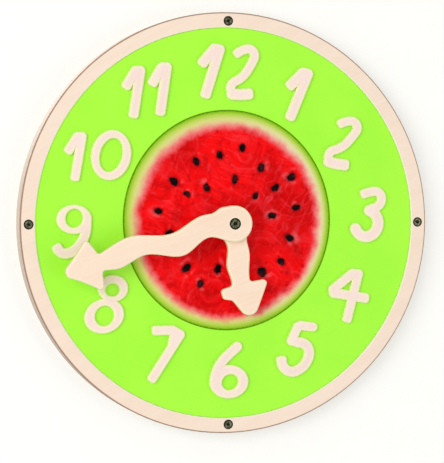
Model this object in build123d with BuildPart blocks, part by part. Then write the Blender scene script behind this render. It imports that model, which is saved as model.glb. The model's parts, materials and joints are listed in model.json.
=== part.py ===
from build123d import *
from math import atan2, cos, degrees, radians, sin
import os

# A wooden teaching clock for a classroom wall. A round board carries a green dial inside a screwed
# rim. Twelve raised wooden numerals and a round fruit picture lie on the dial, and two wavy wooden
# hands are turned by hand on one screw through the middle.
#
# All lengths are in millimetres. The origin is the middle of the back face, which lies on the wall.
# +Z is up, and the clock faces -Y, so a depth is counted from the wall towards the viewer.

# Board, rim and dial
clock_diameter = 400.0
board_thickness = 15.0
board_edge_bevel = 0.8
rim_thickness = 6.0
rim_width = 14.6
rim_edge_bevel = 0.8
dial_thickness = 4.0
dial_gap = 0.2

# Layout of the face, in shares of the clock's diameter. The picture is slightly oval. A hand's
# length runs from the pivot to the arrow's sharp corner, before that corner is rounded.
picture_width_share = 0.511
picture_height_share = 0.524
picture_rise_share = 0.007
numeral_height_share = 0.135
numeral_circle_share = 0.35
minute_hand_share = 0.435
hour_hand_share = 0.243
hanger_height_share = 0.375

# Picture and numerals
picture_thickness = 0.3
numeral_thickness = 3.5
numeral_edge_bevel = 1.0

# Hands
hand_thickness = 6.0
hand_edge_bevel = 1.2
hand_hub_radius = 17.0
minute_hand_angle = 255.1
hour_hand_angle = 168.6
barb_radius = 3.5
blunt_barb_radius = 3.0
notch_radius = 3.2
flank_radius = 5.0
minute_tip_radius = 6.6
minute_tip_shift = -2.6
hour_tip_radius = 9.2
hour_tip_shift = 0.4

# Pivot of the hands
pivot_diameter = 6.0
pivot_head_diameter = 11.0
pivot_socket_width = 4.0
pivot_socket_depth = 2.6
spacer_diameter = 20.0
spacer_height = 11.7
spacer_edge_bevel = 0.6
slip_washer_diameter = 18.0
slip_washer_thickness = 1.0
hand_play = 0.1
bore_clearance = 0.1
pivot_hole_clearance = 0.3
countersink_clearance = 0.12
nut_width = 10.0
nut_height = 6.0
nut_collar_diameter = 8.8
nut_collar_height = 1.6
nut_washer_diameter = 12.0
nut_washer_thickness = 1.6
nut_pocket_diameter = 18.0
nut_pocket_depth = 9.0
thread_clearance = 0.08
pivot_end_length = 0.6

# Screws of the rim
rim_screw_count = 4
rim_screw_offset = 0.9
rim_screw_diameter = 5.0
rim_screw_head_diameter = 9.2
rim_screw_length = 16.0
rim_screw_socket_width = 3.0
rim_screw_socket_depth = 2.0
rim_hole_clearance = 0.25
insert_nut_diameter = 8.0
insert_nut_length = 12.0
insert_nut_clearance = 0.05

# Keyhole plate in the back
plate_length = 44.0
plate_width = 18.0
plate_thickness = 1.5
plate_clearance = 0.2
keyhole_entry_diameter = 10.0
keyhole_slot_width = 5.0
keyhole_travel = 10.0
hanger_pocket_depth = 9.0
hanger_pocket_margin = 2.0
hanger_screw_diameter = 3.0
hanger_screw_head_diameter = 5.6
hanger_screw_length = 10.0
hanger_screw_spacing = 35.0
hanger_screw_socket_width = 1.6
hanger_screw_socket_depth = 1.0
hanger_screw_clearance = 0.1

# Sizes and places that follow from those above
clock_radius = clock_diameter / 2
picture_width = picture_width_share * clock_diameter
picture_height = picture_height_share * clock_diameter
picture_rise = picture_rise_share * clock_diameter
numeral_height = numeral_height_share * clock_diameter
numeral_circle_radius = numeral_circle_share * clock_diameter
minute_hand_length = minute_hand_share * clock_diameter
hour_hand_length = hour_hand_share * clock_diameter
hanger_height = hanger_height_share * clock_diameter
rim_front = board_thickness + rim_thickness
rim_inner_radius = clock_radius - rim_width
dial_radius = rim_inner_radius - dial_gap
dial_front = board_thickness + dial_thickness
picture_front = dial_front + picture_thickness
spacer_front = picture_front + spacer_height
hour_hand_back = spacer_front + slip_washer_thickness + hand_play
hour_hand_front = hour_hand_back + hand_thickness
slip_washer_back = hour_hand_front + hand_play
minute_hand_back = slip_washer_back + slip_washer_thickness + hand_play
minute_hand_front = minute_hand_back + hand_thickness
pivot_hole_radius = pivot_diameter / 2 + pivot_hole_clearance
hand_bore_radius = pivot_diameter / 2 + bore_clearance
nut_front = nut_pocket_depth - nut_washer_thickness
pivot_end = nut_front - nut_height - pivot_end_length
pivot_length = minute_hand_front - pivot_end

rim_screw_radius = clock_radius - rim_width / 2 - rim_screw_offset
rim_screw_angles = [radians(360 * turn / rim_screw_count) for turn in range(rim_screw_count)]
rim_screw_points = [
    (rim_screw_radius * cos(angle), rim_screw_radius * sin(angle)) for angle in rim_screw_angles
]
hanger_screw_points = [(0, hanger_height + end * hanger_screw_spacing / 2) for end in (-1, 1)]

os.makedirs("parts", exist_ok=True)


def facing(depth, x=0.0, z=0.0, turn=0.0):
    """Plane at a depth from the wall that looks at the viewer, turned clockwise by degrees"""
    angle = radians(turn)
    return Plane(origin=(x, -depth, z), x_dir=(cos(angle), 0, -sin(angle)), z_dir=(0, -1, 0))


wall = Plane(origin=(0, 0, 0), x_dir=(-1, 0, 0), z_dir=(0, 1, 0))


def save(part, name):
    """Labels a finished piece and writes it under its name"""
    part.part.label = name
    export_step(part.part, f"parts/{name}.step")


def countersunk_screws(plane, points, diameter, head_diameter, length, socket_width, socket_depth):
    """Flat-headed socket screws whose heads lie flush with a plane, as one group of solids"""
    with BuildPart() as screws:
        with BuildSketch(plane):
            with Locations(*points):
                Circle(diameter / 2)
        extrude(amount=-length)
        with BuildSketch(plane):
            with Locations(*points):
                Circle(head_diameter / 2)
        extrude(amount=-(head_diameter - diameter) / 2, taper=45)
        with BuildSketch(plane):
            with Locations(*points):
                RegularPolygon(socket_width / 2, 6, major_radius=False)
        extrude(amount=-socket_depth, mode=Mode.SUBTRACT)
    return screws


def ring(depth, outer_radius, inner_radius, thickness, points=((0, 0),)):
    """Flat rings or sleeves that stand towards the viewer from a depth, as one group of solids"""
    with BuildPart() as rings:
        with BuildSketch(facing(depth)):
            with Locations(*points):
                Circle(outer_radius)
                Circle(inner_radius, mode=Mode.SUBTRACT)
        extrude(amount=thickness)
    return rings


# Digits, drawn on a grid of steps about the digit's own middle
# A pen stroke is a band: its width, which of its two ends are cut off square instead of round, and
# the points of its middle line. Straight strokes turn sharply at their points. Curved ones leave
# the first point along a heading and run through the others in tangent arcs.
grid_step_count = 54
grid_step = numeral_height / grid_step_count
end_corner_share = 0.34
end_overhang_share = 0.52

straight_strokes = {
    "1": [(10.6, (True, True), [(-9.6, 8.9), (0.5, 21.3), (5.6, 20.8), (-6.6, -20.6)])],
    "4": [
        (9.6, (True, False), [(-1.2, -21.8), (9.8, 20.5), (3.8, 21.0), (-15.8, 6.0), (-15.3, 2.0)]),
        (10.0, (False, True), [(-15.0, 2.4), (15.8, -2.8)]),
    ],
    "5": [(9.4, (False, False), [(17.2, 20.6), (4.5, 22.4), (2.0, 21.4), (-4.5, 7.6), (2.0, 6.0)])],
    "7": [
        (
            9.6,
            (True, True),
            [(-10.8, 22.4), (4.5, 22.4), (11.9, 18.0), (4.6, 7.0), (-14.6, -22.0)],
        ),
        (9.6, (False, False), [(6.2, 17.4), (4.4, 7.6)]),
    ],
}
curved_strokes = {
    "2": [
        (
            9.2,
            (True, False),
            (0.8, 0.6),
            [(-4.2, 18.2), (5.0, 22.0), (11.6, 13.0), (4.2, 0.2), (-7.2, -9.0), (-10.9, -18.0)],
        ),
        (11.2, (False, True), (1.0, -0.1), [(-10.0, -21.0), (5.2, -20.9)]),
    ],
    "3": [
        (
            9.4,
            (True, False),
            (0.9, 0.35),
            [(-3.5, 20.5), (6.0, 22.6), (13.6, 15.0), (6.0, 6.6), (2.8, 5.4)],
        ),
        (11.4, (False, False), (0.95, -0.3), [(1.2, 3.8), (9.9, -6.5), (0.0, -21.0), (-13.0, -13.5)]),
    ],
    "5": [
        (10.4, (False, True), (0.95, 0.1), [(2.0, 6.0), (13.3, -6.5), (0.0, -21.4), (-14.3, -11.8)]),
    ],
    "6": [(10.0, (False, False), (-0.75, -0.6), [(8.8, 22.2), (-3.6, 11.2), (-13.0, -6.0)])],
    "9": [
        (
            10.0,
            (False, True),
            (0.05, -1.0),
            [(13.4, 12.5), (13.0, 2.5), (5.2, -13.8), (-4.2, -19.2), (-13.4, -15.2)],
        ),
    ],
}
# A closed bowl: the middle, the two half-lengths and the lean of its outside, then of its hole
bowls = {
    "0": [((0.0, 0.0), (19.2, 23.9), 12.0, (0.0, 0.2), (10.4, 15.9), 17.0)],
    "6": [((0.6, -11.0), (19.4, 16.2), 0.0, (1.6, -11.4), (8.0, 7.2), -20.0)],
    "8": [
        ((6.8, 15.2), (14.6, 12.8), 0.0, (6.2, 13.8), (6.6, 5.9), 0.0),
        ((-1.6, -10.6), (19.4, 16.3), -18.0, (-1.4, -10.4), (8.9, 9.4), 30.0),
    ],
    "9": [((1.8, 12.4), (16.8, 13.8), 0.0, (1.8, 13.4), (8.0, 8.6), 20.0)],
}

# Each hour's numeral: how many steps it stands outside the numeral circle, how many degrees it
# stands clockwise of its hour, and its digits. A digit has a shift across and up, a lean and a
# scale.
numerals = {
    1: (1.8, 0.2, [("1", (0.0, 0.0), 6.6, 1.0)]),
    2: (-2.0, -4.0, [("2", (0.0, 0.0), 11.0, 1.0)]),
    3: (1.2, -3.0, [("3", (0.0, 0.0), 0.0, 1.0)]),
    4: (0.0, 0.2, [("4", (0.0, 0.0), 0.0, 1.0)]),
    5: (-1.4, 0.9, [("5", (0.0, 0.0), 0.0, 1.0)]),
    6: (0.0, 0.0, [("6", (0.0, 0.0), 0.0, 1.0)]),
    7: (-3.5, -4.3, [("7", (0.0, 0.0), 0.0, 1.0)]),
    8: (0.9, -2.4, [("8", (0.0, 0.0), 0.0, 1.0)]),
    9: (11.0, -3.0, [("9", (0.0, 0.0), 0.0, 1.0)]),
    10: (2.2, -3.2, [("1", (-17.2, -1.2), -6.5, 0.87), ("0", (13.2, 0.2), 0.0, 1.0)]),
    11: (7.9, -2.3, [("1", (-9.2, -1.5), -7.5, 0.93), ("1", (16.4, 1.6), -8.0, 0.95)]),
    12: (3.5, 0.2, [("1", (-15.2, 0.3), 1.2, 1.0), ("2", (13.3, 0.0), 0.0, 1.0)]),
}


def draw_stroke(middle, width, square_ends):
    """Adds a band along a middle line to the sketch around it, with round or squared ends"""
    SlotArc(middle, width)
    with BuildSketch(mode=Mode.PRIVATE) as square_end:
        Rectangle(width, end_overhang_share * width, align=(Align.CENTER, Align.MIN))
        fillet(square_end.vertices().sort_by(Axis.Y)[-2:], end_corner_share * width)
    for end, direction, square in zip((0, 1), (-1, 1), square_ends):
        if square:
            heading = direction * (middle % end)
            turn = degrees(atan2(heading.Y, heading.X)) - 90
            with Locations(Location(middle @ end, (0, 0, turn))):
                add(square_end.sketch)


def draw_digit(digit, step):
    """Adds a digit's strokes and bowls to the sketch around it, at a given length of its steps"""
    for width, square_ends, points in straight_strokes.get(digit, []):
        with BuildLine(mode=Mode.PRIVATE) as middle:
            Polyline(*[(x * step, y * step) for x, y in points])
        draw_stroke(middle.wire(), width * step, square_ends)
    for width, square_ends, heading, points in curved_strokes.get(digit, []):
        with BuildLine(mode=Mode.PRIVATE) as middle:
            start, *rest = [(x * step, y * step) for x, y in points]
            for end in rest:
                arc = TangentArc(start, end, tangent=heading)
                start, heading = end, arc % 1
        draw_stroke(middle.wire(), width * step, square_ends)
    for (x, y), (a, b), lean, _, _, _ in bowls.get(digit, []):
        with Locations(Location((x * step, y * step), -lean)):
            Ellipse(a * step, b * step)
    for _, _, _, (x, y), (a, b), lean in bowls.get(digit, []):
        with Locations(Location((x * step, y * step), -lean)):
            Ellipse(a * step, b * step, mode=Mode.SUBTRACT)


def make_numeral(hour):
    """One hour's numeral: its digits as separate solids, with their front edges taken off"""
    outward, advance, digits = numerals[hour]
    bearing = radians(30.0 * hour + advance)
    reach = numeral_circle_radius + outward * grid_step
    middle_x, middle_z = reach * sin(bearing), reach * cos(bearing)
    with BuildPart() as numeral:
        for digit, (across, up), lean, scale_factor in digits:
            x = middle_x + across * grid_step
            z = middle_z + up * grid_step
            with BuildSketch(facing(dial_front, x, z, lean)):
                draw_digit(digit, grid_step * scale_factor)
            extrude(amount=numeral_thickness)
        front_faces = numeral.faces().filter_by(Axis.Y).group_by(Axis.Y)[0]
        chamfer(front_faces.edges(), numeral_edge_bevel)
    return numeral


for hour in numerals:
    save(make_numeral(hour), f"numeral_{hour}")

# Board: blind holes for the insert nuts in its front, pockets for nut and keyhole plate in its back
with BuildPart() as back_board:
    with BuildSketch(facing(0)):
        Circle(clock_radius)
    extrude(amount=board_thickness)
    chamfer(back_board.edges().sort_by(Axis.Y)[-1], board_edge_bevel)
    with BuildSketch(facing(board_thickness)):
        with Locations(*rim_screw_points):
            Circle(insert_nut_diameter / 2 + insert_nut_clearance)
    extrude(amount=-insert_nut_length, mode=Mode.SUBTRACT)
    with Locations(wall):
        CounterBoreHole(pivot_hole_radius, nut_pocket_diameter / 2, nut_pocket_depth)
    with BuildSketch(wall):
        with Locations((0, hanger_height)):
            SlotOverall(plate_length + 2 * plate_clearance, plate_width + 2 * plate_clearance, 90)
    extrude(amount=-plate_thickness, mode=Mode.SUBTRACT)
    with BuildSketch(wall):
        with Locations((0, hanger_height)):
            SlotCenterToCenter(keyhole_travel, keyhole_entry_diameter + 2 * hanger_pocket_margin, 90)
    extrude(amount=-hanger_pocket_depth, mode=Mode.SUBTRACT)
    with BuildSketch(wall):
        with Locations(*hanger_screw_points):
            Circle(hanger_screw_diameter / 2 + hanger_screw_clearance)
    extrude(amount=-hanger_screw_length, mode=Mode.SUBTRACT)
save(back_board, "back_board")

# Rim: a flat ring with countersunk holes for its screws
with BuildPart() as rim_ring:
    with BuildSketch(facing(board_thickness)):
        Circle(clock_radius)
        Circle(rim_inner_radius, mode=Mode.SUBTRACT)
    extrude(amount=rim_thickness)
    chamfer(rim_ring.edges().group_by(Axis.Y)[0], rim_edge_bevel)
    with Locations(facing(rim_front)):
        with Locations(*rim_screw_points):
            CounterSinkHole(
                rim_screw_diameter / 2 + rim_hole_clearance,
                rim_screw_head_diameter / 2 + countersink_clearance,
                rim_thickness,
                90,
            )
save(rim_ring, "rim_ring")

save(ring(board_thickness, dial_radius, pivot_hole_radius, dial_thickness), "green_dial")

with BuildPart() as centre_picture:
    with BuildSketch(facing(dial_front)):
        with Locations((0, picture_rise)):
            Ellipse(picture_width / 2, picture_height / 2)
        Circle(pivot_hole_radius, mode=Mode.SUBTRACT)
    extrude(amount=picture_thickness)
save(centre_picture, "centre_picture")

rim_screws = countersunk_screws(
    facing(rim_front),
    rim_screw_points,
    rim_screw_diameter,
    rim_screw_head_diameter,
    rim_screw_length,
    rim_screw_socket_width,
    rim_screw_socket_depth,
)
save(rim_screws, "rim_screws")

rim_insert_nuts = ring(
    board_thickness - insert_nut_length,
    insert_nut_diameter / 2,
    rim_screw_diameter / 2 + thread_clearance,
    insert_nut_length,
    rim_screw_points,
)
save(rim_insert_nuts, "rim_insert_nuts")

# Sides of the hands, first the anticlockwise one. Each has the points of its wavy shaft, given by
# their distance from the hand's middle line and their share of the way from the pivot to the
# notch. Then come the corners of the notch and the barb, given by that distance, their length
# short of the arrow's sharp corner and their radius, and how far the arrow's side is hollowed.
minute_hand_sides = (
    (
        [(-12.2, 0.1), (-5.9, 0.2), (-15.3, 0.4), (-5.3, 0.68), (-10.8, 0.88)],
        [(-8.2, 40.2, notch_radius), (-28.8, 37.4, barb_radius)],
        2.2,
    ),
    (
        [(18.1, 0.055), (15.2, 0.131), (15.6, 0.19), (7.3, 0.45), (15.0, 0.75)],
        [(7.0, 40.6, notch_radius), (24.4, 32.8, barb_radius)],
        1.4,
    ),
)
hour_hand_sides = (
    (
        [(-10.3, 0.3), (-10.6, 0.48), (-6.6, 0.83)],
        [(-5.3, 39.8, notch_radius), (-24.0, 39.0, barb_radius)],
        -0.4,
    ),
    (
        [(9.4, 0.32), (13.4, 0.68), (11.7, 0.9)],
        [
            (11.8, 39.4, notch_radius),
            (23.9, 38.2, barb_radius),
            (22.8, 28.9, blunt_barb_radius),
            (14.4, 26.0, flank_radius),
        ],
        0.1,
    ),
)


def make_hand(back, angle, length, sides, tip_shift, tip_radius):
    """A wavy hand with a round hub and a rounded arrow head, lying clockwise of twelve by an angle"""
    rounded = []
    with BuildPart() as hand:
        with BuildSketch(facing(back, turn=angle)) as outline:
            with BuildLine():
                ThreePointArc((-hand_hub_radius, 0), (0, -hand_hub_radius), (hand_hub_radius, 0))
                for direction, (shaft, corners, hollow) in zip((-1, 1), sides):
                    points = [(across, length - short) for across, short, _ in corners]
                    wave = [(across, along * points[0][1]) for across, along in shaft]
                    end_heading = (points[0][0] - wave[-1][0], points[0][1] - wave[-1][1])
                    Spline(
                        (direction * hand_hub_radius, 0),
                        *wave,
                        points[0],
                        tangents=[(0, 1), end_heading],
                        tangent_scalars=[1.0, 1.0],
                    )
                    Polyline(*points)
                    SagittaArc(points[-1], (tip_shift, length), direction * hollow)
                    rounded += [(*point, radius) for point, (_, _, radius) in zip(points, corners)]
            make_face()
            for x, y, radius in [*rounded, (tip_shift, length, tip_radius)]:
                fillet(outline.vertices().sort_by_distance((x, y)).first, radius)
        extrude(amount=hand_thickness)
        chamfer(hand.faces().filter_by(Axis.Y).edges(), hand_edge_bevel)
    return hand


hour_hand = make_hand(
    hour_hand_back,
    hour_hand_angle,
    hour_hand_length,
    hour_hand_sides,
    hour_tip_shift,
    hour_tip_radius,
)
with hour_hand:
    with Locations(facing(hour_hand_front)):
        Hole(hand_bore_radius)
save(hour_hand, "hour_hand")

minute_hand = make_hand(
    minute_hand_back,
    minute_hand_angle,
    minute_hand_length,
    minute_hand_sides,
    minute_tip_shift,
    minute_tip_radius,
)
with minute_hand:
    with Locations(facing(minute_hand_front)):
        CounterSinkHole(
            hand_bore_radius,
            pivot_head_diameter / 2 + countersink_clearance,
            hand_thickness,
            90,
        )
save(minute_hand, "minute_hand")

# Spacer, slip washers, screw and nut of the pivot
hub_spacer = ring(picture_front, spacer_diameter / 2, hand_bore_radius, spacer_height)
with hub_spacer:
    chamfer(hub_spacer.edges().sort_by(SortBy.LENGTH)[-2:], spacer_edge_bevel)
save(hub_spacer, "hub_spacer")

washer_radius = slip_washer_diameter / 2
hour_hand_washer = ring(spacer_front, washer_radius, hand_bore_radius, slip_washer_thickness)
save(hour_hand_washer, "hour_hand_washer")
minute_hand_washer = ring(slip_washer_back, washer_radius, hand_bore_radius, slip_washer_thickness)
save(minute_hand_washer, "minute_hand_washer")

pivot_screw = countersunk_screws(
    facing(minute_hand_front),
    [(0, 0)],
    pivot_diameter,
    pivot_head_diameter,
    pivot_length,
    pivot_socket_width,
    pivot_socket_depth,
)
save(pivot_screw, "pivot_screw")

pivot_washer = ring(nut_front, nut_washer_diameter / 2, pivot_hole_radius, nut_washer_thickness)
save(pivot_washer, "pivot_washer")

# Lock nut: a hexagon with a round collar towards the wall
with BuildPart() as pivot_nut:
    with BuildSketch(facing(nut_front)):
        RegularPolygon(nut_width / 2, 6, major_radius=False)
    extrude(amount=-(nut_height - nut_collar_height))
    with BuildSketch(facing(nut_front)):
        Circle(nut_collar_diameter / 2)
    extrude(amount=-nut_height)
    with Locations(facing(nut_front)):
        Hole(pivot_diameter / 2 + thread_clearance)
save(pivot_nut, "pivot_nut")

# Keyhole plate: a wall screw's head goes in at the round entry and rises in the slot above it
with BuildPart() as hanger_plate:
    with BuildSketch(wall):
        with Locations((0, hanger_height)):
            SlotOverall(plate_length, plate_width, 90)
            SlotCenterToCenter(keyhole_travel, keyhole_slot_width, 90, mode=Mode.SUBTRACT)
        with Locations((0, hanger_height - keyhole_travel / 2)):
            Circle(keyhole_entry_diameter / 2, mode=Mode.SUBTRACT)
    extrude(amount=-plate_thickness)
    with Locations(wall):
        with Locations(*hanger_screw_points):
            CounterSinkHole(
                hanger_screw_diameter / 2 + hanger_screw_clearance,
                hanger_screw_head_diameter / 2 + hanger_screw_clearance,
                plate_thickness,
                90,
            )
save(hanger_plate, "hanger_plate")

hanger_screws = countersunk_screws(
    wall,
    hanger_screw_points,
    hanger_screw_diameter,
    hanger_screw_head_diameter,
    hanger_screw_length,
    hanger_screw_socket_width,
    hanger_screw_socket_depth,
)
save(hanger_screws, "hanger_screws")
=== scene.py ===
"""Looks of the wooden teaching clock: materials, light, wall and camera."""

import json
from math import cos, radians, sin

import bpy
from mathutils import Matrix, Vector


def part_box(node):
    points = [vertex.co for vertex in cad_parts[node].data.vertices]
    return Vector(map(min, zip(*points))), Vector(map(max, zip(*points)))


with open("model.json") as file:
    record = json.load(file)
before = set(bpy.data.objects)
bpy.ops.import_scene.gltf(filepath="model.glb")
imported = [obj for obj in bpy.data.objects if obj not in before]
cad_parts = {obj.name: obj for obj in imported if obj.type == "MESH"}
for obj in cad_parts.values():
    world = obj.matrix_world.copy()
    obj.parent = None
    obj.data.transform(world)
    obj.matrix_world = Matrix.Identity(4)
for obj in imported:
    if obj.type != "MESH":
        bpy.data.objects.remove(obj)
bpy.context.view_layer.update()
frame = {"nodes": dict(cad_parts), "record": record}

MM = 0.001
WHITE = (1.0, 1.0, 1.0, 1.0)

# Camera of the photograph, in metres and degrees, a little to the clock's left and above it
CAMERA_AIM = Vector((-6.26, -21.0, -7.82)) * MM
CAMERA_DISTANCE = 1888.1 * MM
CAMERA_AZIMUTH = -15.58
CAMERA_ELEVATION = 1.62
CAMERA_LENS = 154.63
CAMERA_SENSOR = 36.0

# Wall and floor, one white sheet that curves from one to the other, in metres
WALL_GAP = 0.8 * MM
WALL_TOP = 3.0
FLOOR_HEIGHT = -1.1
FLOOR_REACH = 5.0
SHEET_HALF_WIDTH = 4.0
CURVE_RADIUS = 0.5
CURVE_STEPS = 8

# Glow of the wall and the floor, and light of the room on the clock, where 1 is white
WALL_GLOW = 0.43
FLOOR_GLOW = 0.93
ROOM_LIGHT = 0.6

# Lamps stand round the middle of the clock's back
LAMP_TARGET = Vector((0.0, 0.0, 0.0))
LAMP_DISTANCE = 3.0

# Radii to which the materials soften the edges of wood and metal
WOOD_ROUNDING = 0.5 * MM
METAL_ROUNDING = 0.2 * MM
BEVEL_SAMPLES = 6

PLY_PITCH = 2.8 * MM
RIM_SCREW_HEAD = 9.2 * MM
TURNING_MARKS_PER_METRE = 2600

# Picture of a melon slice: the flesh lies a little low and right in the rind, and takes these
# shares of the picture's width and height
FLESH_SHIFT = (0.6 * MM, -2.2 * MM)
FLESH_SHARES = (0.872, 0.868)
SEED_HALF_LENGTH = 4.1 * MM
SEED_HALF_WIDTH = 2.9 * MM

# Seeds: millimetres across and up from the middle, degrees of lean from upright, size
SEEDS = [
    (-8, 62, 12, 1.0),
    (14, 69, -14, 0.9),
    (33, 50, -30, 1.05),
    (-31, 56, 34, 1.0),
    (-53, 37, 58, 1.1),
    (-40, 25, 52, 0.85),
    (-68, 9, 80, 1.0),
    (-57, -12, 104, 1.0),
    (-41, -45, 140, 1.15),
    (-27, -60, 152, 0.9),
    (-10, -46, 170, 1.05),
    (5, -69, 184, 1.0),
    (47, 31, -55, 1.0),
    (63, 41, -60, 1.1),
    (68, 12, -82, 1.0),
    (44, 4, -88, 0.9),
    (61, -17, -110, 1.1),
    (53, -40, -126, 1.0),
    (34, -50, -150, 1.2),
    (27, 23, -42, 0.85),
    (-21, 31, 30, 0.95),
    (7, 39, -8, 1.0),
]


def linear(red, green, blue):
    """Linear colour of an sRGB colour given in 0 to 255"""
    parts = []
    for value in (red / 255, green / 255, blue / 255):
        parts.append(value / 12.92 if value <= 0.04045 else ((value + 0.055) / 1.055) ** 2.4)
    return (*parts, 1.0)


class Look:
    """A node material. Each method adds one node and gives back its output socket"""

    def __init__(self, name):
        self.material = bpy.data.materials.new(name)
        self.material.use_nodes = True
        self.tree = self.material.node_tree
        self.tree.nodes.clear()

    def add(self, kind, inputs=(), output=0, **settings):
        """A node of a kind, with settings, and inputs by name or number"""
        node = self.tree.nodes.new("ShaderNode" + kind)
        for setting, value in settings.items():
            setattr(node, setting, value)
        for key, value in dict(inputs).items():
            if isinstance(value, bpy.types.NodeSocket):
                self.tree.links.new(value, node.inputs[key])
            else:
                node.inputs[key].default_value = value
        return node.outputs[output] if node.outputs else node

    def math(self, operation, *values):
        return self.add("Math", enumerate(values), operation=operation)

    def vector(self, operation, *values, output=0):
        return self.add("VectorMath", enumerate(values), output, operation=operation)

    def combine(self, x, y, z):
        return self.add("CombineXYZ", enumerate((x, y, z)))

    def length(self, vector):
        return self.vector("LENGTH", vector, output="Value")

    def parts(self, vector):
        """The three numbers of a vector"""
        node = self.add("SeparateXYZ", {0: vector}).node
        return node.outputs[0], node.outputs[1], node.outputs[2]

    def noise(self, vector, scale=1.0, detail=2.0, roughness=0.5, distortion=0.0):
        inputs = {
            "Vector": vector,
            "Scale": scale,
            "Detail": detail,
            "Roughness": roughness,
            "Distortion": distortion,
        }
        return self.add("TexNoise", inputs)

    def span(self, value, low, high, start=0.0, end=1.0):
        """A value eased from start at low to end at high"""
        inputs = enumerate((value, low, high, start, end))
        return self.add("MapRange", inputs, interpolation_type="SMOOTHSTEP")

    def mix(self, share, first, second):
        """A colour between two, by the share of the second"""
        return self.add("Mix", {0: share, 6: first, 7: second}, 2, data_type="RGBA")

    def ramp(self, value, stops):
        """Colours by value; each stop is a position and a colour"""
        ramp = self.add("ValToRGB", {0: value})
        elements = ramp.node.color_ramp.elements
        while len(elements) < len(stops):
            elements.new(0.5)
        for element, (position, colour) in zip(elements, stops):
            element.position = position
            element.color = colour
        return ramp

    def bevel(self, radius):
        """Normal of the surface with its edges rounded"""
        return self.add("Bevel", {"Radius": radius}, samples=BEVEL_SAMPLES)

    def bump(self, height, depth, strength, rounding=0.0):
        """Normal from a height of 0 to 1 that stands for a depth, on edges rounded by a radius"""
        inputs = {"Height": height, "Distance": depth, "Strength": strength}
        if rounding:
            inputs["Normal"] = self.bevel(rounding)
        return self.add("Bump", inputs)

    def finish(self, **inputs):
        """Ends the material in a Principled shader; inputs are named as its sockets are"""
        sockets = {name.replace("_", " "): value for name, value in inputs.items()}
        shader = self.add("BsdfPrincipled", sockets)
        self.add("OutputMaterial", {0: shader})
        return self.material


def place(look):
    """The point in metres, riding with its piece"""
    return look.add("TexCoord", output="Object")


def facing_share(look):
    """1 on faces that look to the front or the back, 0 on the sides"""
    _, depth, _ = look.parts(look.add("TexCoord", output="Normal"))
    return look.span(look.math("ABSOLUTE", depth), 0.25, 0.8)


def grain(look, grain_turn, contrast):
    """Tone, fibres and pores of sanded wood, from 0 to 1. The grain runs at a turn from level"""
    inputs = {"Vector": place(look), "Angle": grain_turn}
    turned = look.add("VectorRotate", inputs, rotation_type="Y_AXIS")

    def stretched(along, across):
        return look.vector("MULTIPLY", turned, (along, across, across))

    rings = look.noise(stretched(7, 75), detail=3, roughness=0.55, distortion=0.6)
    fibres = look.noise(stretched(45, 900), detail=3, roughness=0.6)
    flecks = look.noise(stretched(260, 2300), detail=1)
    tone = look.math("MULTIPLY_ADD", rings, 0.6, look.math("MULTIPLY", fibres, 0.4))
    half_span = 0.2 / contrast
    tone = look.span(tone, 0.5 - half_span, 0.5 + half_span)
    return tone, fibres, look.span(flecks, 0.66, 0.76)


def wood_finish(look, colour, fibres, pores, rounding):
    """Ends a wood in a soft sheen, with its fibres and pores to be felt"""
    height = look.math("MULTIPLY_ADD", fibres, 0.7, look.math("MULTIPLY", pores, -0.3))
    return look.finish(
        Base_Color=colour,
        Roughness=look.span(fibres, 0.3, 0.7, 0.5, 0.62),
        Specular_IOR_Level=0.3,
        Normal=look.bump(height, 0.12 * MM, strength=0.35, rounding=rounding),
    )


def wood(name, light, dark, sawn_side_and_painted_bounce, edge, grain_turn, rounding, edge_width, contrast=1.0):
    """Sanded pale wood. Its sides take the sawn colour and its rounded edges a paler one, and both
    also carry painted light: a painted highlight on the edges, and on the numerals a painted green
    bounce from the dial
    """
    look = Look(name)
    tone, fibres, pores = grain(look, grain_turn, contrast)
    face = look.mix(tone, light, dark)
    face = look.mix(look.math("MULTIPLY", pores, 0.16), face, sawn_side_and_painted_bounce)
    smears = look.noise(place(look), scale=180, detail=2)
    # Sides: the sawn colour, which on the numerals and hands also carries a painted yellow-green
    # bounce from the dial
    side = look.mix(look.math("MULTIPLY", smears, 0.35), sawn_side_and_painted_bounce, dark)
    # Rounded edges: a paler colour, partly sanded wood and partly a painted highlight tinted by
    # green bounce
    _, tilt, _ = look.parts(look.bevel(edge_width))
    tilt = look.math("ABSOLUTE", tilt)
    colour = look.mix(look.span(tilt, 0.2, 0.6), side, edge)
    colour = look.mix(look.span(tilt, 0.95, 1.0), colour, face)
    return wood_finish(look, colour, fibres, pores, rounding)


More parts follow.
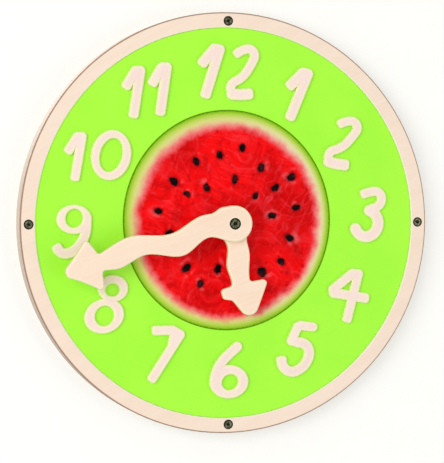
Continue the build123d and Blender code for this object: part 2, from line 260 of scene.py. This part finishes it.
def rim_wood():
    """Wood of the rim, whose outer edge the cutter browned in a thin line, and whose inner edge
    has a painted pale yellow-green highlight
    """
    look = Look("rim_wood")
    low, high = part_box("rim_ring")
    inner_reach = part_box("green_dial")[1].x
    tone, fibres, pores = grain(look, grain_turn=0.5, contrast=0.5)
    face = look.mix(tone, linear(251, 231, 212), linear(243, 219, 198))
    face = look.mix(look.math("MULTIPLY", pores, 0.14), face, linear(190, 160, 134))
    across, depth, up = look.parts(place(look))
    reach = look.length(look.combine(across, 0.0, up))
    smears = look.noise(place(look), scale=160, detail=3)
    sawn = look.mix(smears, linear(216, 192, 170), linear(196, 168, 144))
    outside = look.span(reach, high.x - 4 * MM, high.x - 2 * MM)
    side = look.mix(outside, linear(246, 234, 208), sawn)
    colour = look.mix(facing_share(look), side, face)
    # Painted highlight: a pale yellow-green band along the inner edge, standing for light and
    # green bounce from the dial
    inner_painted_highlight = look.span(reach, inner_reach + 0.7 * MM, inner_reach + 1.6 * MM, 0.8, 0.0)
    colour = look.mix(inner_painted_highlight, colour, linear(248, 243, 206))
    at_edge = look.span(reach, high.x - 1.5 * MM, high.x - 0.9 * MM)
    at_front = look.span(depth, low.y + 1.1 * MM, low.y + 2.3 * MM, 1.0, 0.0)
    scorch = look.math("MULTIPLY", look.math("MULTIPLY", at_edge, at_front), 0.9)
    brown = look.mix(smears, linear(166, 134, 106), linear(132, 98, 74))
    return wood_finish(look, look.mix(scorch, colour, brown), fibres, pores, WOOD_ROUNDING)


def board_wood():
    """Plywood: a veneered face and back, and plies that show as fine stripes in the side"""
    look = Look("board_wood")
    point = place(look)
    _, depth, _ = look.parts(point)
    tone, fibres, _ = grain(look, grain_turn=0.0, contrast=0.75)
    veneer = look.mix(tone, linear(240, 221, 196), linear(220, 194, 160))
    ply = look.math("FRACT", look.math("MULTIPLY", depth, 1 / PLY_PITCH))
    stripe = look.span(look.math("PINGPONG", ply, 0.5), 0.19, 0.31)
    smears = look.noise(point, scale=130, detail=3)
    sides = look.mix(
        stripe,
        look.mix(smears, linear(222, 205, 188), linear(206, 188, 170)),
        look.mix(smears, linear(206, 186, 166), linear(188, 166, 144)),
    )
    height = look.math("ADD", fibres, stripe)
    return look.finish(
        Base_Color=look.mix(facing_share(look), sides, veneer),
        Roughness=0.62,
        Normal=look.bump(height, 0.1 * MM, strength=0.4, rounding=WOOD_ROUNDING),
    )


def dial_paint():
    """Green lacquer, sprayed on a smooth board"""
    look = Look("dial_face")
    point = place(look)
    cloud = look.noise(point, scale=18, detail=2)
    peel = look.noise(point, scale=900, detail=1)
    shade = look.span(cloud, 0.35, 0.65)
    return look.finish(
        Base_Color=look.mix(shade, linear(164, 251, 46), linear(170, 253, 52)),
        Roughness=look.span(cloud, 0.3, 0.7, 0.42, 0.5),
        Specular_IOR_Level=0.45,
        Normal=look.bump(peel, 0.06 * MM, strength=0.3),
    )


def melon_print():
    """Printed slice of a melon: fibrous red flesh with seeds, a pale band and a green rind"""
    look = Look("picture_print")
    low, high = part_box("centre_picture")
    middle = (low + high) / 2
    half_width, half_height = (high.x - low.x) / 2, (high.z - low.z) / 2
    point = look.vector("SUBTRACT", place(look), (middle.x, 0.0, middle.z))

    def drift(scale, detail):
        """A vector that wanders from point to point, each of its numbers from -0.5 to 0.5"""
        inputs = {"Vector": point, "Scale": scale, "Detail": detail}
        return look.vector("SUBTRACT", look.add("TexNoise", inputs, "Color"), (0.5, 0.5, 0.5))

    def shifted(way, distance):
        """The point, moved across and up by a distance times a vector"""
        return look.vector("ADD", point, look.vector("MULTIPLY", way, (distance, 0.0, distance)))

    def reach(vector, shift, shares):
        """Distance from a shifted middle, as a share of an ellipse like the picture's outline"""
        moved = look.vector("SUBTRACT", vector, (shift[0], 0.0, shift[1]))
        scales = (1 / (half_width * shares[0]), 0.0, 1 / (half_height * shares[1]))
        return look.length(look.vector("MULTIPLY", moved, scales))

    wobble = drift(scale=48, detail=2)
    ragged = shifted(wobble, 9 * MM)

    def fibres(turn, along, across):
        """Noise drawn out along a direction that bends as it goes"""
        inputs = {"Vector": shifted(wobble, 20 * MM), "Angle": radians(turn)}
        turned = look.add("VectorRotate", inputs, rotation_type="Y_AXIS")
        drawn = look.vector("MULTIPLY", turned, (along, 1.0, across))
        return look.noise(drawn, detail=3, roughness=0.6)

    patches = look.noise(point, scale=19, detail=3, roughness=0.6)
    inputs = {"Vector": ragged, "Scale": 15.0, "Smoothness": 0.5}
    lobes = look.add("TexVoronoi", inputs, "Distance", feature="SMOOTH_F1")
    lobes = look.combine(look.math("MULTIPLY", lobes, 21), 0.0, 0.0)
    bent = look.vector("ADD", lobes, look.vector("MULTIPLY", point, (34, 0.0, 34)))
    arcs = look.noise(bent, detail=3, roughness=0.6)
    upright = fibres(turn=65, along=34, across=330)
    level = fibres(turn=-20, along=30, across=300)
    swirls = look.noise(point, scale=60, detail=2, distortion=1.0)
    threads = look.noise(point, scale=110, detail=4, roughness=0.65)
    grit = look.noise(point, scale=520, detail=2, roughness=0.7)

    # Flesh: bright and deep patches, pale fibres that fade in and out, and fine grit
    flesh = look.mix(look.span(patches, 0.38, 0.66), linear(252, 8, 12), linear(214, 2, 4))
    flesh = look.mix(look.span(arcs, 0.5, 0.74, 0.0, 0.26), flesh, linear(250, 70, 84))
    flesh = look.mix(look.span(arcs, 0.32, 0.5, 0.4, 0.0), flesh, linear(186, 0, 2))
    fading = look.span(patches, 0.4, 0.6)
    pale = look.math("MULTIPLY", look.span(upright, 0.5, 0.76, 0.0, 0.4), fading)
    flesh = look.mix(pale, flesh, linear(250, 90, 104))
    fading = look.math("SUBTRACT", 1.0, fading)
    pale = look.math("MULTIPLY", look.span(level, 0.5, 0.76, 0.0, 0.36), fading)
    flesh = look.mix(pale, flesh, linear(252, 84, 92))
    flesh = look.mix(look.span(threads, 0.32, 0.5, 0.6, 0.0), flesh, linear(182, 0, 2))
    flesh = look.mix(look.span(grit, 0.6, 0.76, 0.0, 0.2), flesh, linear(252, 84, 84))

    # Rind: from the flesh outwards a pale band, broader on the right, and green to the edge
    rough = look.math("SUBTRACT", grit, 0.5)
    outward = look.math("MULTIPLY_ADD", rough, 0.02, reach(point, (0, 0), (1, 1)))
    rind = look.ramp(
        outward,
        [
            (0.85, linear(240, 172, 150)),
            (0.885, linear(228, 200, 148)),
            (0.92, linear(218, 219, 128)),
            (0.955, linear(184, 214, 82)),
            (0.982, linear(142, 198, 28)),
            (0.994, linear(84, 132, 4)),
        ],
    )
    rightward, _, _ = look.parts(point)
    on_right = look.span(rightward, -0.2 * half_width, half_width, 0.0, 0.5)
    paler = look.math("MULTIPLY", on_right, look.span(outward, 0.9, 0.97, 1.0, 0.0))
    rind = look.mix(paler, rind, linear(246, 226, 204))

    # Border between the two, frayed by the threads
    rough = look.math("SUBTRACT", threads, 0.5)
    border = look.math("MULTIPLY_ADD", rough, 0.1, reach(ragged, FLESH_SHIFT, FLESH_SHARES))
    blush = look.mix(look.span(border, 0.93, 1.0), flesh, linear(240, 92, 98))
    colour = look.mix(look.span(border, 0.965, 1.07), blush, rind)

    # Seeds: the smallest distance to any of them, in seed half-lengths
    crumbled = shifted(drift(scale=230, detail=1), 3.2 * MM)
    distances = []
    for across, up, lean, size in SEEDS:
        inputs = {
            "Vector": crumbled,
            "Location": (across * MM, 0.0, up * MM),
            "Rotation": (0.0, radians(-lean), 0.0),
            "Scale": (size * SEED_HALF_WIDTH, 1.0, size * SEED_HALF_LENGTH),
        }
        local = look.add("Mapping", inputs, vector_type="TEXTURE")
        distances.append(look.length(look.vector("MULTIPLY", local, (1.0, 0.0, 1.0))))
    nearest = distances[0]
    for distance in distances[1:]:
        nearest = look.math("MINIMUM", nearest, distance)
    around = look.span(nearest, 1.2, 3.0, 0.5, 0.0)
    beside = look.math("MULTIPLY", around, look.span(swirls, 0.54, 0.7))
    colour = look.mix(beside, colour, linear(252, 122, 128))
    colour = look.mix(look.span(nearest, 0.9, 1.9, 0.75, 0.0), colour, linear(128, 0, 4))
    coat = look.mix(look.span(threads, 0.48, 0.7), linear(8, 0, 2), linear(72, 20, 24))
    coat = look.mix(look.span(grit, 0.66, 0.78, 0.0, 0.6), coat, linear(170, 140, 138))
    colour = look.mix(look.span(nearest, 0.92, 1.16, 1.0, 0.0), colour, coat)
    gloss = look.noise(point, scale=400, detail=1)
    return look.finish(
        Base_Color=colour,
        Roughness=look.span(gloss, 0.3, 0.7, 0.42, 0.5),
        Specular_IOR_Level=0.05,
        Normal=look.bump(gloss, 0.03 * MM, strength=0.3),
    )


def plated_steel():
    """Plated steel with fine marks and an uneven finish"""
    look = Look("plated_steel")
    point = place(look)
    stain = look.noise(point, scale=700, detail=3, roughness=0.6)
    marks = look.noise(point, scale=1500, detail=2)
    shade = look.span(stain, 0.35, 0.65)
    return look.finish(
        Base_Color=look.mix(shade, linear(196, 194, 186), linear(170, 168, 160)),
        Metallic=1.0,
        Roughness=look.span(marks, 0.3, 0.7, 0.23, 0.37),
        Normal=look.bump(marks, 0.04 * MM, strength=0.4, rounding=METAL_ROUNDING),
    )


def blackened_screw():
    """Blackened socket screws, worn in patches, with painted shade darkening each socket and each
    head's edge
    """
    look = Look("dark_screw")
    point = place(look)
    rim_screw_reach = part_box("rim_screws")[1].x - RIM_SCREW_HEAD / 2
    pivot_low, pivot_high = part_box("pivot_screw")
    across, _, up = look.parts(point)
    from_pivot = look.length(look.combine(across, 0.0, up))

    # The four rim screws lie alike across and up, so one distance serves them all
    across, up = look.math("ABSOLUTE", across), look.math("ABSOLUTE", up)
    outward = look.math("SUBTRACT", look.math("MAXIMUM", across, up), rim_screw_reach)
    sideways = look.math("MINIMUM", across, up)
    from_rim_screw = look.length(look.combine(outward, 0.0, sideways))

    reach = look.math("MINIMUM", from_rim_screw, from_pivot)
    head_share = look.math(
        "MINIMUM",
        look.math("MULTIPLY", from_rim_screw, 2 / RIM_SCREW_HEAD),
        look.math("MULTIPLY", from_pivot, 2 / (pivot_high.x - pivot_low.x)),
    )
    stain = look.noise(point, scale=420, detail=3, roughness=0.7)
    specks = look.noise(point, scale=760, detail=2, roughness=0.7)
    turning = look.combine(look.math("MULTIPLY", reach, TURNING_MARKS_PER_METRE), 0.0, 0.0)
    marks = look.noise(turning, detail=1)
    worn = look.mix(look.span(stain, 0.42, 0.58), linear(104, 106, 82), linear(48, 50, 32))
    worn = look.mix(look.span(specks, 0.52, 0.64, 0.0, 0.5), worn, linear(182, 184, 162))
    # Painted shade: the middle of each head, round and in the socket, is darkened
    colour = look.mix(look.span(head_share, 0.18, 0.42), linear(26, 32, 14), worn)
    # Painted shade: a dark ring along the outer edge of each head
    colour = look.mix(look.span(head_share, 0.62, 0.86), colour, linear(32, 30, 20))
    return look.finish(
        Base_Color=colour,
        Metallic=1.0,
        Roughness=look.span(marks, 0.3, 0.7, 0.3, 0.44),
        Normal=look.bump(marks, 0.03 * MM, strength=0.4, rounding=METAL_ROUNDING),
    )


def nylon():
    """Milky nylon of the slip washers"""
    look = Look("slip_washer")
    mottle = look.noise(place(look), scale=900, detail=2)
    return look.finish(
        Base_Color=look.mix(mottle, linear(236, 234, 226), linear(222, 219, 208)),
        Roughness=look.span(mottle, 0.3, 0.7, 0.36, 0.46),
        Subsurface_Weight=0.15,
        Normal=look.bump(mottle, 0.03 * MM, strength=0.3),
    )


looks = {
    "board_wood": board_wood(),
    "rim_wood": rim_wood(),
    "numeral_wood": wood(
        "numeral_wood",
        light=linear(252, 230, 220),
        dark=linear(247, 220, 211),
        # The side and edge colours are tinted yellow-green as a painted bounce from the dial and a
        # painted highlight
        sawn_side_and_painted_bounce=linear(236, 226, 180),
        edge=linear(245, 246, 190),
        grain_turn=1.2,
        rounding=1.2 * MM,
        edge_width=5.0 * MM,
    ),
    "hand_wood": wood(
        "hand_wood",
        light=linear(252, 229, 206),
        dark=linear(248, 219, 193),
        sawn_side_and_painted_bounce=linear(228, 206, 156),
        # The pale edge colour is a painted highlight along the rounded edges
        edge=linear(254, 240, 208),
        grain_turn=0.35,
        rounding=1.3 * MM,
        edge_width=3.0 * MM,
        contrast=0.8,
    ),
    "spacer_wood": wood(
        "spacer_wood",
        light=linear(238, 214, 180),
        dark=linear(222, 192, 152),
        sawn_side_and_painted_bounce=linear(206, 174, 134),
        edge=linear(240, 222, 192),
        grain_turn=0.0,
        rounding=0.4 * MM,
        edge_width=0.6 * MM,
    ),
    "dial_face": dial_paint(),
    "picture_print": melon_print(),
    "dark_screw": blackened_screw(),
    "plated_steel": plated_steel(),
    "slip_washer": nylon(),
}

# Every CAD piece takes the look of its slot in the record
slot_of = {part["node"]: part["material_slot"] for part in frame["record"]["subparts"]}
for name, piece in frame["nodes"].items():
    slot = slot_of[name]
    piece.data.materials.clear()
    piece.data.materials.append(looks[slot])


def backdrop_look():
    """Matt paper, clear from behind, with a glow: a little warm on the wall, white on the floor"""
    look = Look("backdrop")
    point = place(look)
    paper = look.noise(point, scale=30, detail=2)
    white = look.mix(paper, linear(200, 200, 200), linear(203, 203, 203))
    matt = look.add("BsdfDiffuse", {"Color": white})
    _, _, height = look.parts(point)
    curve_top = FLOOR_HEIGHT + CURVE_RADIUS
    level = look.span(height, FLOOR_HEIGHT, curve_top, FLOOR_GLOW, WALL_GLOW)
    tint = look.mix(level, (1.0, 0.995, 0.85, 1.0), WHITE)
    glow = look.add("Emission", {"Color": tint, "Strength": level})
    lit = look.add("AddShader", {0: matt, 1: glow})
    clear = look.add("BsdfTransparent")
    behind = look.add("NewGeometry", output="Backfacing")
    look.add("OutputMaterial", {0: look.add("MixShader", {0: behind, 1: lit, 2: clear})})
    return look.material


def backdrop():
    """Wall and floor, which show the clock's shadow and take no part in its light"""
    profile = [(WALL_GAP, WALL_TOP), (WALL_GAP, FLOOR_HEIGHT + CURVE_RADIUS)]
    for step in range(1, CURVE_STEPS + 1):
        angle = radians(90 * step / CURVE_STEPS)
        forward = CURVE_RADIUS * (1 - cos(angle))
        above = CURVE_RADIUS * (1 - sin(angle))
        profile.append((WALL_GAP - forward, FLOOR_HEIGHT + above))
    profile.append((-FLOOR_REACH, FLOOR_HEIGHT))
    points, faces = [], []
    for y, z in profile:
        points += [(-SHEET_HALF_WIDTH, y, z), (SHEET_HALF_WIDTH, y, z)]
    for index in range(len(profile) - 1):
        first = 2 * index
        faces.append((first, first + 2, first + 3, first + 1))
    mesh = bpy.data.meshes.new("backdrop")
    mesh.from_pydata(points, [], faces)
    for polygon in mesh.polygons:
        polygon.use_smooth = True
    mesh.materials.append(backdrop_look())
    sheet = bpy.data.objects.new("backdrop", mesh)
    bpy.context.scene.collection.objects.link(sheet)
    sheet.visible_diffuse = False
    sheet.visible_glossy = False
    sheet.visible_transmission = False
    sheet.visible_shadow = False


def stand_off(piece, target, azimuth, elevation, distance):
    """Puts a lamp or camera off its target, looking back at it. Azimuth 0 is in front"""
    turn, rise = radians(azimuth), radians(elevation)
    way = Vector((sin(turn) * cos(rise), -cos(turn) * cos(rise), sin(rise)))
    piece.location = target + way * distance
    piece.rotation_mode = "QUATERNION"
    piece.rotation_quaternion = (-way).to_track_quat("-Z", "Y")
    bpy.context.scene.collection.objects.link(piece)


def softbox(name, azimuth, elevation, size, power):
    """A square lamp, with its side in metres and its power in watts"""
    lamp = bpy.data.objects.new(name, bpy.data.lights.new(name, "AREA"))
    lamp.data.shape = "SQUARE"
    lamp.data.size = size
    lamp.data.energy = power
    stand_off(lamp, LAMP_TARGET, azimuth, elevation, LAMP_DISTANCE)


def studio_world():
    """Even light from all round, plain white to the camera and in what mirrors or passes it"""
    world = bpy.data.worlds.new("studio")
    bpy.context.scene.world = world
    world.use_nodes = True
    tree = world.node_tree
    tree.nodes.clear()
    rays = tree.nodes.new("ShaderNodeLightPath")
    shown = rays.outputs["Is Camera Ray"]
    for kind in ("Is Glossy Ray", "Is Transmission Ray"):
        either = tree.nodes.new("ShaderNodeMath")
        either.operation = "MAXIMUM"
        tree.links.new(shown, either.inputs[0])
        tree.links.new(rays.outputs[kind], either.inputs[1])
        shown = either.outputs[0]
    level = tree.nodes.new("ShaderNodeMapRange")
    level.inputs["To Min"].default_value = ROOM_LIGHT
    level.inputs["To Max"].default_value = 1.0
    background = tree.nodes.new("ShaderNodeBackground")
    background.inputs["Color"].default_value = WHITE
    output = tree.nodes.new("ShaderNodeOutputWorld")
    tree.links.new(shown, level.inputs["Value"])
    tree.links.new(level.outputs["Result"], background.inputs["Strength"])
    tree.links.new(background.outputs["Background"], output.inputs["Surface"])


backdrop()
softbox("key_light", azimuth=-40, elevation=9, size=1.8, power=40.5)
softbox("fill_light", azimuth=44, elevation=-14, size=1.8, power=13)
softbox("back_light", azimuth=205, elevation=30, size=1.5, power=48)
studio_world()

camera = bpy.data.objects.new("camera", bpy.data.cameras.new("camera"))
camera.data.lens = CAMERA_LENS
camera.data.sensor_width = CAMERA_SENSOR
stand_off(camera, CAMERA_AIM, CAMERA_AZIMUTH, CAMERA_ELEVATION, CAMERA_DISTANCE)
bpy.context.scene.camera = camera
bpy.context.scene.view_settings.view_transform = "Standard"
